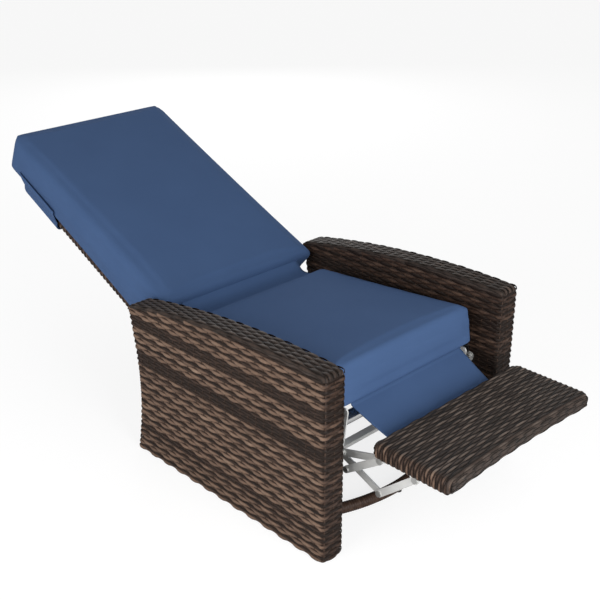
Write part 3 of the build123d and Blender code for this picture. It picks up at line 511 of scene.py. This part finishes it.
# Center and radius of the circle through three points
def circleThrough(a, b, c):
    (ax, ay), (bx, by), (cx, cy) = a, b, c
    d = 2 * (ax * (by - cy) + bx * (cy - ay) + cx * (ay - by))
    aa, bb, cc = ax * ax + ay * ay, bx * bx + by * by, cx * cx + cy * cy
    x = (aa * (by - cy) + bb * (cy - ay) + cc * (ay - by)) / d
    y = (aa * (cx - bx) + bb * (ax - cx) + cc * (bx - ax)) / d
    return x, y, math.hypot(ax - x, ay - y)


# Arms: level rows round the whole arm, lengthwise strands over the arch and upright stakes
arm = {
    "arch": ((0.0, 0.495), (0.330, 0.4885), (0.721, 0.431)),
    "rear": ((0.721, 0.431), (0.688, 0.205), (0.712, 0.002)),
    "corner": 0.0065, "archCorner": 0.007, "topMargin": 0.0075, "rearSwell": 0.002,
    "tone": 0.65, "darkTone": 0.17, "darkEvery": 3, "paintedFrontShade": 0.38, "paintedInnerShade": 0.32,
    "darkBands": ((0.270, 0.302), (0.072, 0.087), (0.391, 0.406)),
    "topTone": 0.26, "topWarmth": 0.5, "stakeTone": 0.34,
    "wide": 1.04, "darkWide": 0.78, "toneChange": 0.035, "topChange": 0.05, "topEnd": 0.02,
    "stripFrom": 0.03, "stripTo": 0.700, "rearTop": 0.425,
    "look": {"pitch": 0.0082, "stake": 0.0281, "samples": 6, "columns": 5, "halfWidth": 0.0043,
             "swell": 0.20, "base": 0.0009, "lift": 0.0015, "crown": 0.0012, "waver": 0.0003,
             "paintedDipShade": 0.10, "paintedEdgeShade": 0.34, "dashChange": 0.05, "stakeRise": 0.0014,
             "stakeHalf": 0.0018},
}


# Tone and width of a row: every third one is dark and narrow, and so are those in the dark bands
def armTone(row, z, random):
    dark = row % arm["darkEvery"] == 1 or any(low < z < high for low, high in arm["darkBands"])
    tone, wide = ("darkTone", "darkWide") if dark else ("tone", "wide")
    return arm[tone] + random.normal(0.0, arm["toneChange"]), arm[wide]


def weaveArm(suffix):
    side = sides[suffix]
    look = arm["look"]
    low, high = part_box("arm_weave" + suffix)
    front = low[1]
    outer, inner = (low[0], high[0]) if side < 0 else (high[0], low[0])
    away = -1.0 if outer < inner else 1.0
    thick = abs(outer - inner)
    archX, archY, archR = circleThrough(*arm["arch"])
    rearX, rearY, rearR = circleThrough(*arm["rear"])

    def archHeight(depth):
        return archY + math.sqrt(max(0.0, archR ** 2 - (depth - archX) ** 2))

    def rearDepth(height):
        return rearX - math.sqrt(rearR ** 2 - (height - rearY) ** 2) + arm["rearSwell"]

    weaving = Weaving("wickerArm" + suffix, look, 11 + side)
    corner = arm["corner"]
    crossings = {}
    for row in range(int((high[2] - low[2]) / look["pitch"])):
        z = low[2] + look["pitch"] * (row + 0.5)
        back = rearDepth(z)
        # a row near the top is opened at the rear, where the arch has dropped below it
        opened = z > archHeight(back) - arm["topMargin"]
        if z + arm["topMargin"] > archHeight(arm["topEnd"]):
            continue
        if opened:
            rise = z + arm["topMargin"] - archY
            back = min(back, archX + math.sqrt(max(0.0, archR ** 2 - rise ** 2)))
        # plan outline in (distance from the inner face, depth), from the rear round the front to the rear
        turns = [((corner, corner), corner, 180, 270), ((thick - corner, corner), corner, 270, 360)]
        if not opened:
            turns = ([((corner, back - corner), corner, 90, 180)] + turns
                     + [((thick - corner, back - corner), corner, 0, 90)])
        outline, outs = outlineOf(turns)
        if opened:
            outline = [(0.0, back)] + outline + [(thick, back)]
            outs = [(-1.0, 0.0)] + outs + [(1.0, 0.0)]
        else:
            outline = outline + [outline[0]]
            outs = outs + [outs[0]]
        # the pattern is counted from the middle of the front face
        lengths = travelAlong(outline)
        half = quarterSteps + 1 if opened else 2 * quarterSteps
        spots, normals, travel = evenly(outline, outs, look, (lengths[half - 1] + lengths[half]) / 2)
        flat = np.zeros(len(spots))
        path = np.stack([inner + away * spots[:, 0], front + spots[:, 1], flat + z], 1)
        out = np.stack([away * normals[:, 0], normals[:, 1], flat], 1)
        tone, wide = armTone(row, z, weaving.random)
        # painted shade: faces turned to the front and to the inner side of the arm are made darker
        tone = (tone - arm["paintedFrontShade"] * np.clip(-normals[:, 1], 0, 1)
                - arm["paintedInnerShade"] * np.clip(-normals[:, 0], 0, 1))
        upward = np.tile([0.0, 0.0, 1.0], (len(spots), 1))
        weaving.lay(path, out, upward, travel, row % 2, tone, 1.0, wide)
        stakes = travel / look["stake"]
        for index in np.flatnonzero(np.abs(stakes - np.round(stakes)) < 1e-6):
            crossings.setdefault(round(stakes[index]), []).append((path[index], out[index]))
    for line in crossings.values():
        if len(line) > 2:
            spots = np.array([spot for spot, way in line])
            ways = np.array([way for spot, way in line])
            weaving.stand(spots, ways, np.cross(ways, [0.0, 0.0, 1.0]), arm["stakeTone"])

    # lengthwise strands over the arch, from the front face round to the rear face
    reach = arm["archCorner"]
    section, sectionOut = (np.array(values) for values in outlineOf(
        [((corner, -corner), corner, 180, 90), ((thick - corner, -corner), corner, 90, 0)]))
    lengths = travelAlong(section)
    count = round(lengths[-1] / look["pitch"])
    end = rearDepth(arm["rearTop"])
    frontTop = archHeight(0.0)
    for strip in range(count):
        mark = lengths[-1] * (strip + 0.5) / count
        spot, way = (np.array([np.interp(mark, lengths, values[:, axis]) for axis in range(2)])
                     for values in (section, sectionOut))
        way /= np.linalg.norm(way)
        outline, outs = outlineOf([((reach, frontTop - reach), reach, 180, 95)])
        outline = [(0.0, frontTop - reach - 0.004)] + outline
        outs = [(-1.0, 0.0)] + outs
        for depth in np.linspace(arm["stripFrom"], arm["stripTo"], 40):
            slope = math.atan2(depth - archX, archHeight(depth) - archY)
            outline.append((depth, archHeight(depth)))
            outs.append((math.sin(slope), math.cos(slope)))
        points, ways = quarter((end - reach, archHeight(end) - reach - 0.002), reach, 75, 0)
        outline, outs = outline + list(points), outs + list(ways)
        spots, normals, travel = evenly(outline, outs, look, look["stake"] / 2)
        flat = np.zeros(len(spots))
        # the section drops below the arch towards the arm's edges
        spots = spots + normals * spot[1]
        path = np.stack([inner + away * (spot[0] + flat), front + spots[:, 0], spots[:, 1]], 1)
        out = np.stack([away * way[0] + flat, normals[:, 0] * way[1], normals[:, 1] * way[1]], 1)
        along = np.gradient(path, axis=0)
        along /= np.linalg.norm(along, axis=1)[:, None]
        weaving.lay(path, out, np.cross(along, out), travel, strip % 2,
                    arm["topTone"] + weaving.random.normal(0, arm["topChange"]), arm["topWarmth"])
    weaving.finish("base")
    paint("arm_weave" + suffix, finishes["shadeBacking"])


# How far a rounded edge falls back at this distance from its end
def fallBack(radius, near):
    return radius - math.sqrt(max(0.0, radius ** 2 - max(0.0, radius - near) ** 2))


rowChange = 0.04
endFade = 0.012


# A flat woven panel: rows along X that wrap round its two ends, closed by lengthwise rows on its edges
def weavePanel(name, values, seed, body, halfWidth, edges, thick, place):
    look = values["look"]
    weaving = Weaving(name, look, seed)
    random = weaving.random
    start, finish = edges
    edgeRound, cornerRound = values["edgeRound"], values["cornerRound"]
    count = max(2, round((finish(0.0) - start(0.0)) / look["pitch"]))
    for row in range(count):
        share = (row + 0.5) / count
        near = (finish(0.0) - start(0.0)) * min(share, 1 - share)
        bottom = fallBack(edgeRound, near)
        top = thick - bottom
        half = halfWidth - fallBack(cornerRound, near)
        turn = min(edgeRound, (top - bottom) / 2 - 0.0005)
        # the strand starts and ends under the panel, where its seam is out of sight
        outline, outs = outlineOf([
            ((-half + turn, bottom + turn), turn, 270, 180), ((-half + turn, top - turn), turn, 180, 90),
            ((half - turn, top - turn), turn, 90, 0), ((half - turn, bottom + turn), turn, 0, -90)])
        outline = [(0.0, bottom)] + outline + [(0.0, bottom)]
        outs = [(0.0, -1.0)] + outs + [(0.0, -1.0)]
        whole = np.sum(np.linalg.norm(np.diff(np.array(outline), axis=0), axis=1))
        spots, normals, travel = evenly(outline, outs, look, whole / 2)
        flat = np.zeros(len(spots))
        begins = np.array([start(x) for x in spots[:, 0]])
        ends = np.array([finish(x) for x in spots[:, 0]])
        local = np.stack([spots[:, 0], begins + (ends - begins) * share, spots[:, 1]], 1)
        out = np.stack([normals[:, 0], flat, normals[:, 1]], 1)
        atEnd = np.clip((np.abs(spots[:, 0]) - halfWidth + values["endReach"]) / endFade, 0.0, 1.0)
        dark = row % values["darkEvery"] == 1
        tone = (values["darkTone"] if dark else values["tone"]) + random.normal(0.0, rowChange)
        endTone = values["darkTone"] if dark else values["endTone"]
        aside = np.tile([0.0, 1.0, 0.0], (len(spots), 1))
        weaving.lay(place(local), place(out, True), place(aside, True), travel, row % 2,
                    tone + (endTone - tone) * atEnd, values["warmth"] + (1 - values["warmth"]) * atEnd)
    # rows along the two long edges
    for edge, way in ((start, -1.0), (finish, 1.0)):
        levels = max(1, round((thick - edgeRound) / look["pitch"]))
        for level in range(levels):
            height = edgeRound / 2 + (thick - edgeRound) * (level + 0.5) / levels
            reach = halfWidth - cornerRound * 0.4
            marks = np.arange(-reach, reach, look["stake"] / look["samples"])
            inset = fallBack(edgeRound, min(height, thick - height))
            local = np.stack([marks, np.array([edge(x) for x in marks]) - way * inset,
                              np.full(len(marks), height)], 1)
            lean = max(-1.0, min(1.0, (height - thick / 2) / (thick / 2)))
            tilt = math.copysign(max(0.0, abs(lean) - 0.3), lean)
            out = np.tile([0.0, way * math.cos(tilt), math.sin(tilt)], (len(marks), 1))
            aside = np.tile([0.0, -way * math.sin(tilt), math.cos(tilt)], (len(marks), 1))
            weaving.lay(place(local), place(out, True), place(aside, True), marks, level % 2,
                        values["rimTone"] + random.normal(0.0, rowChange), values["warmth"])
    return weaving.finish(body)


# Footrest, with a hollowed front edge and warmer strands round its ends
footrest = {
    "arch": 0.010, "edgeRound": 0.012, "cornerRound": 0.016, "endReach": 0.014,
    "tone": 0.55, "darkTone": 0.33, "endTone": 0.55, "rimTone": 0.30, "darkEvery": 3, "warmth": 0.25,
    "look": {"pitch": 0.0070, "stake": 0.0325, "samples": 6, "columns": 5, "halfWidth": 0.0035,
             "swell": 0.12, "base": 0.0008, "lift": 0.0008, "crown": 0.0012, "waver": 0.0001,
             "paintedDipShade": 0.34, "paintedEdgeShade": 0.62, "dashChange": 0.08},
}


def weaveFootrest():
    low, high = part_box("footrest_weave")
    half = high[0]
    frontMiddle = low[1] + footrest["arch"]
    sweep = (half ** 2 + footrest["arch"] ** 2) / (2 * footrest["arch"])

    def frontEdge(x):
        return frontMiddle - (sweep - math.sqrt(sweep ** 2 - min(abs(x), half) ** 2))

    def place(values, direction=False):
        return values if direction else values + np.array([0.0, 0.0, low[2]])

    weavePanel("wickerFootrest", footrest, 31, "footrest", half, (frontEdge, lambda x: high[1]),
               high[2] - low[2], place)
    paint("footrest_weave", finishes["shadeBacking"])


# Back: the slope and the line that its cushion starts from, and the woven panel behind the cushion
back = {
    "slope": 25.7, "start": (0.6527, 0.4223), "panel": (0.052, 0.716), "halfWidth": 0.250,
    "thick": 0.028, "under": 0.142, "edgeRound": 0.004, "cornerRound": 0.040, "endReach": 0.0,
    "tone": 0.46, "darkTone": 0.24, "endTone": 0.46, "rimTone": 0.34, "darkEvery": 3, "warmth": 1.0,
    "look": {"pitch": 0.0082, "stake": 0.0281, "samples": 6, "columns": 3, "halfWidth": 0.0043,
             "swell": 0.20, "base": 0.0007, "lift": 0.0014, "crown": 0.0011, "waver": 0.0003,
             "paintedDipShade": 0.10, "paintedEdgeShade": 0.24, "dashChange": 0.06},
}


# Points or directions measured across, along and in front of the back, in the row's axes
def backPlace(values, direction=False):
    turn = math.radians(back["slope"])
    across, along, above = values.T
    turned = np.stack([across, along * math.cos(turn) - above * math.sin(turn),
                       along * math.sin(turn) + above * math.cos(turn)], 1)
    if direction:
        return turned
    return turned + np.array([0.0, back["start"][0] + chairFront, back["start"][1]])


def weaveBack():
    start, finish = back["panel"]

    def place(values, direction=False):
        if not direction:
            values = values - np.array([0.0, 0.0, back["under"] + back["thick"]])
        return backPlace(values, direction)

    weavePanel("wickerBack", back, 41, "back", back["halfWidth"], (lambda x: start, lambda x: finish),
               back["thick"], place)
    paint("back_weave", finishes["shadeBacking"])


# Bowed stretcher: a strand wound tightly round the tube
bow = {"front": 0.072, "sweep": 0.480, "reach": 0.285, "height": 0.017, "radius": 0.0142,
       "pitch": 0.0066, "ridge": 0.0011, "valley": 0.35, "tone": 0.30, "toneChange": 0.04,
       "samples": 5, "around": 24}


def windBow():
    span = math.asin(bow["reach"] / bow["sweep"])
    turns = round(2 * span * bow["sweep"] / bow["pitch"])
    samples, around = bow["samples"], bow["around"]
    points = []
    random = np.random.default_rng(5)
    rings = turns * samples + 1
    for ring in range(rings):
        angle = -span + 2 * span * ring / (rings - 1)
        depth = chairFront + bow["front"] + bow["sweep"] * (1 - math.cos(angle))
        middle = Vector((bow["sweep"] * math.sin(angle), depth, bow["height"]))
        inward = Vector((-math.sin(angle), math.cos(angle), 0.0))
        for step in range(around):
            turn = 2 * math.pi * step / around
            wave = abs(math.sin(math.pi * (ring / samples + step / around)))
            radius = bow["radius"] + bow["ridge"] * (wave - bow["valley"])
            points.append(middle + radius * (math.cos(turn) * inward + Vector((0, 0, math.sin(turn)))))
    shade = random.normal(bow["tone"], bow["toneChange"], turns + 2)
    tones = [shade[ring // samples] for ring in range(rings) for step in range(around)]
    faces = [(ring * around + step, ring * around + (step + 1) % around,
              (ring + 1) * around + (step + 1) % around, (ring + 1) * around + step)
             for ring in range(rings - 1) for step in range(around)]
    piece = addMesh("boundStretcher", points, faces, "base", finishes["strand"], True,
                    {"tone": tones, "warmth": [1.0] * len(tones)})
    paint("bow_stretcher", finishes["wrap"])


# Padding: a soft solid is remeshed, drawn in a little and blown up as cloth, and each point then
# moves out along its own normal, between a least rise and a cap
padding = {
    "seat_cushion": {"body": "seat", "name": "seatPad", "voxel": 0.0075, "cap": 0.006},
    "back_cushion": {"body": "back", "name": "backPad", "voxel": 0.0080, "cap": 0.007},
}
filling = {"shrink": 0.0020, "least": 0.0012, "pressure": 4.0, "mass": 0.4, "stretch": 18, "shear": 8,
           "bend": 2.0, "frames": 14}


# A mesh's places or normals, one point to a row
def readPoints(mesh, label):
    values = np.empty(len(mesh.vertices) * 3)
    mesh.vertices.foreach_get(label, values)
    return values.reshape(-1, 3)


def smoothOut(pad, name, rounds):
    smooth = pad.modifiers.new(name, "SMOOTH")
    smooth.factor = 0.5
    smooth.iterations = rounds


def padCushion(node):
    values = padding[node]
    mesh = nodes[node].data.copy()
    mesh.name = values["name"]
    pad = bpy.data.objects.new(values["name"], mesh)
    scene.collection.objects.link(pad)
    bpy.context.view_layer.objects.active = pad
    remesh = pad.modifiers.new("even", "REMESH")
    remesh.mode = "VOXEL"
    remesh.voxel_size = values["voxel"]
    applyModifiers(pad)
    smoothOut(pad, "soften", 2)
    applyModifiers(pad)
    mesh = pad.data
    normals = readPoints(mesh, "normal")
    shrunk = readPoints(mesh, "co") - normals * filling["shrink"]
    mesh.vertices.foreach_set("co", shrunk.ravel())
    mesh.update()
    cloth = pad.modifiers.new("fill", "CLOTH")
    settings = cloth.settings
    settings.quality = 4
    settings.mass = filling["mass"]
    settings.use_pressure = True
    settings.uniform_pressure_force = filling["pressure"]
    settings.tension_stiffness = filling["stretch"]
    settings.compression_stiffness = filling["stretch"]
    settings.shear_stiffness = filling["shear"]
    settings.bending_stiffness = filling["bend"]
    settings.effector_weights.gravity = 0.0
    cloth.collision_settings.use_collision = False
    for step in range(1, filling["frames"] + 1):
        scene.frame_set(step)
    ready = pad.evaluated_get(bpy.context.evaluated_depsgraph_get())
    blown = readPoints(ready.data, "co")
    pad.modifiers.remove(cloth)
    scene.frame_set(1)
    rise = np.clip(np.sum((blown - shrunk) * normals, axis=1), filling["least"], values["cap"])
    mesh.vertices.foreach_set("co", (shrunk + normals * rise[:, None]).ravel())
    mesh.update()
    print(values["name"], "filled, mean rise", round(float(rise.mean()) * 1000, 2), "mm")
    smoothOut(pad, "ease", 3)
    finer = pad.modifiers.new("finer", "SUBSURF")
    finer.levels = 1
    finer.render_levels = 1
    applyModifiers(pad)
    pad.data.polygons.foreach_set("use_smooth", [True] * len(pad.data.polygons))
    pad.data.materials.clear()
    pad.data.materials.append(finishes["cushion"])
    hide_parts(node)
    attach(pad, values["body"])


def applyModifiers(piece):
    ready = piece.evaluated_get(bpy.context.evaluated_depsgraph_get())
    mesh = bpy.data.meshes.new_from_object(ready)
    old = piece.data
    piece.modifiers.clear()
    piece.data = mesh
    bpy.data.meshes.remove(old)


# Cloth has a thickness to one side of its sheet, or to both
def thicken(piece, thick, offset):
    shell = piece.modifiers.new("thick", "SOLIDIFY")
    shell.thickness = thick
    shell.offset = offset


# Cloth strips: the flap under the seat front and the bridge between the cushions
def clothSheet(name, rows, body, material, thick, node):
    points = [point for row in rows for point in row]
    piece = addMesh(name, points, gridFaces(len(rows), len(rows[0])), body, material)
    thicken(piece, thick, 0)
    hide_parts(node)
    return piece


# Its first row is sewn in under the seat cushion, and the rest hangs from the hinge line
flap = {"sewn": (0.0600, 0.3540), "hinge": (0.0549, 0.3449), "end": (-0.0590, 0.2953),
        "halfWidth": 0.205, "inset": 0.014, "sag": 0.004, "ripple": 0.0009, "thick": 0.0022,
        "columns": 60, "steps": 24}


def hangFlap():
    (startY, startZ), (endY, endZ) = flap["hinge"], flap["end"]
    length = math.dist(flap["hinge"], flap["end"])
    places = [-1 + 2 * column / flap["columns"] for column in range(flap["columns"] + 1)]
    rows = [[(flap["halfWidth"] * side, chairFront + flap["sewn"][0], flap["sewn"][1])
             for side in places]]
    for step in range(flap["steps"] + 1):
        share = step / flap["steps"]
        half = flap["halfWidth"] - flap["inset"] * share
        row = []
        for side in places:
            sag = -flap["sag"] * math.sin(math.pi * share) * (1 - 0.6 * side * side)
            fold = flap["ripple"] * math.sin(9.5 * side + 2.5 * share) * share
            row.append((side * half, chairFront + startY + (endY - startY) * share,
                        startZ + (endZ - startZ) * share + sag + fold))
        rows.append(row)
    length += math.dist(flap["sewn"], flap["hinge"])
    clothSheet("frontFlap", rows, "flap", finishes["cushion"], flap["thick"], "front_flap")


bridge = {"halfWidth": 0.215, "thick": 0.0022, "steps": 28, "columns": 40, "rounds": 6,
          "line": ((0.004, 0.396), (0.040, 0.384), (0.080, 0.380), (0.102, 0.403), (0.115, 0.418))}


def stretchBridge():
    spots = np.array(bridge["line"])
    knots = np.linspace(0.0, 1.0, len(spots))
    shares = np.linspace(0.0, 1.0, bridge["steps"])
    curve = np.stack([np.interp(shares, knots, spots[:, axis]) for axis in range(2)], 1)
    for step in range(bridge["rounds"]):
        curve[1:-1] = (curve[:-2] + 2 * curve[1:-1] + curve[2:]) / 4
    rows = [[(bridge["halfWidth"] * (-1 + 2 * column / bridge["columns"]), y, z)
             for column in range(bridge["columns"] + 1)] for y, z in curve]
    piece = clothSheet("cushionBridge", rows, None, finishes["cushion"], bridge["thick"], "cushion_bridge")
    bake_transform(piece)


# Hood: a fabric pocket at the back of the cushion that slips over the top of the back
hood = {"from": 0.525, "to": 0.7345, "halfWidth": 0.2540, "bottom": -0.1868, "round": 0.016,
        "flare": ((0.0262, -0.106), (0.0225, -0.120), (0.0120, -0.140), (0.0020, -0.158)),
        "cornerRound": 0.040, "thick": 0.0025}


# Outline round the hood, across and in front of the back, from one flared edge to the other
def hoodOutline(half, bottom):
    radius = hood["round"]
    outline = [(-half - wider, depth) for wider, depth in hood["flare"]]
    for turn in np.radians(np.linspace(180, 270, 7)):
        outline.append((-half + radius * (1 + math.cos(turn)), bottom + radius * (1 + math.sin(turn))))
    outline += [(x, bottom) for x in np.linspace(-half + radius, half - radius, 40)[1:-1]]
    for turn in np.radians(np.linspace(270, 360, 7)):
        outline.append((half - radius * (1 - math.cos(turn)), bottom + radius * (1 + math.sin(turn))))
    return outline + [(half + wider, depth) for wider, depth in hood["flare"][::-1]]


def sewHood():
    straight = hood["to"] - hood["cornerRound"]
    rings = [(place, 0.0, 0.0) for place in np.linspace(hood["from"], straight, 22)]
    for turn in np.radians(np.linspace(0, 88, 12))[1:]:
        narrow = hood["cornerRound"] * (1 - math.cos(turn))
        shallow = hood["round"] * (1 - math.cos(turn)) * 0.8
        rings.append((straight + hood["cornerRound"] * math.sin(turn), narrow, shallow))
    rows = [[(x, place, depth)
             for x, depth in hoodOutline(hood["halfWidth"] - narrow, hood["bottom"] + shallow)]
            for place, narrow, shallow in rings]
    # the end wall closes the pocket up to the cushion's underside
    end = [(x * 0.995, depth) for x, place, depth in rows[-1]]
    for share in (0.0, 0.33, 0.66, 1.0):
        rows.append([(x, hood["to"], depth + (hood["flare"][0][1] - depth) * share) for x, depth in end])
    points = backPlace(np.array([point for row in rows for point in row]))
    faces = gridFaces(len(rows), len(rows[0]))
    piece = addMesh("cushionHood", points.tolist(), faces, "back", finishes["cushion"])
    thicken(piece, hood["thick"], -1)
    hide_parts("back_hood")
    surfaceArea(points, faces)


def surfaceArea(points, faces):
    total = 0.0
    for face in faces:
        a, b, c, d = (np.asarray(points[index]) for index in face)
        total += np.linalg.norm(np.cross(b - a, c - a)) / 2 + np.linalg.norm(np.cross(c - a, d - a)) / 2
    return float(total)


# Metal, webbing and plastic pieces keep their own meshes
steelNodes = ["base_side_plate", "linkage_plate", "tilt_arm", "guide_bracket", "back_hinge_plate",
              "recline_link", "drive_link", "front_link", "footrest_bracket", "cross_link", "brace_link",
              "rear_link"]
zincNodes = ["base_bolts", "seat_pivot_bolts", "guide_pins", "back_hinge_bolts", "recline_pins",
             "drive_rivets", "front_rivets", "footrest_rivets", "footrest_screws", "cross_rivets",
             "rear_rivets"]


def paintMetal():
    for name in steelNodes:
        for suffix in sides:
            paint(name + suffix, finishes["steel"])
    for name in zincNodes:
        paint(name, finishes["zinc"])
    for suffix in sides:
        paint("arm_frame" + suffix, finishes["frame"])
        paint("seat_rail" + suffix, finishes["black"])
    for name in ("back_frame", "footrest_frame"):
        paint(name, finishes["frame"])
    for name in ("base_rear_tube", "base_mid_tube", "seat_rear_tube"):
        paint(name, finishes["black"])
    paint("seat_front_tube", finishes["polished"])
    paint("drive_cross_bar", finishes["steel"])
    paint("seat_straps", finishes["webbing"])
    paint("floor_glides", finishes["plastic"])
    paint("bow_foot", finishes["plastic"])


addCamera()
for name in ("left", "front", "behind"):
    addLamp(name + "Lamp", *[studio[name][key] for key in ("place", "aim", "size", "power")])
addSurround()
addFloor()
scene.view_settings.view_transform = "Standard"
print("studio ready")

finishes = makeFinishes()
print("finishes ready")

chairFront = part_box("arm_weave_r")[0][1]
paintMetal()
print("metal painted")
for suffix in sides:
    weaveArm(suffix)
weaveFootrest()
weaveBack()
windBow()
print("wicker woven")
padCushion("seat_cushion")
padCushion("back_cushion")
hangFlap()
stretchBridge()
sewHood()
print("soft pieces made")
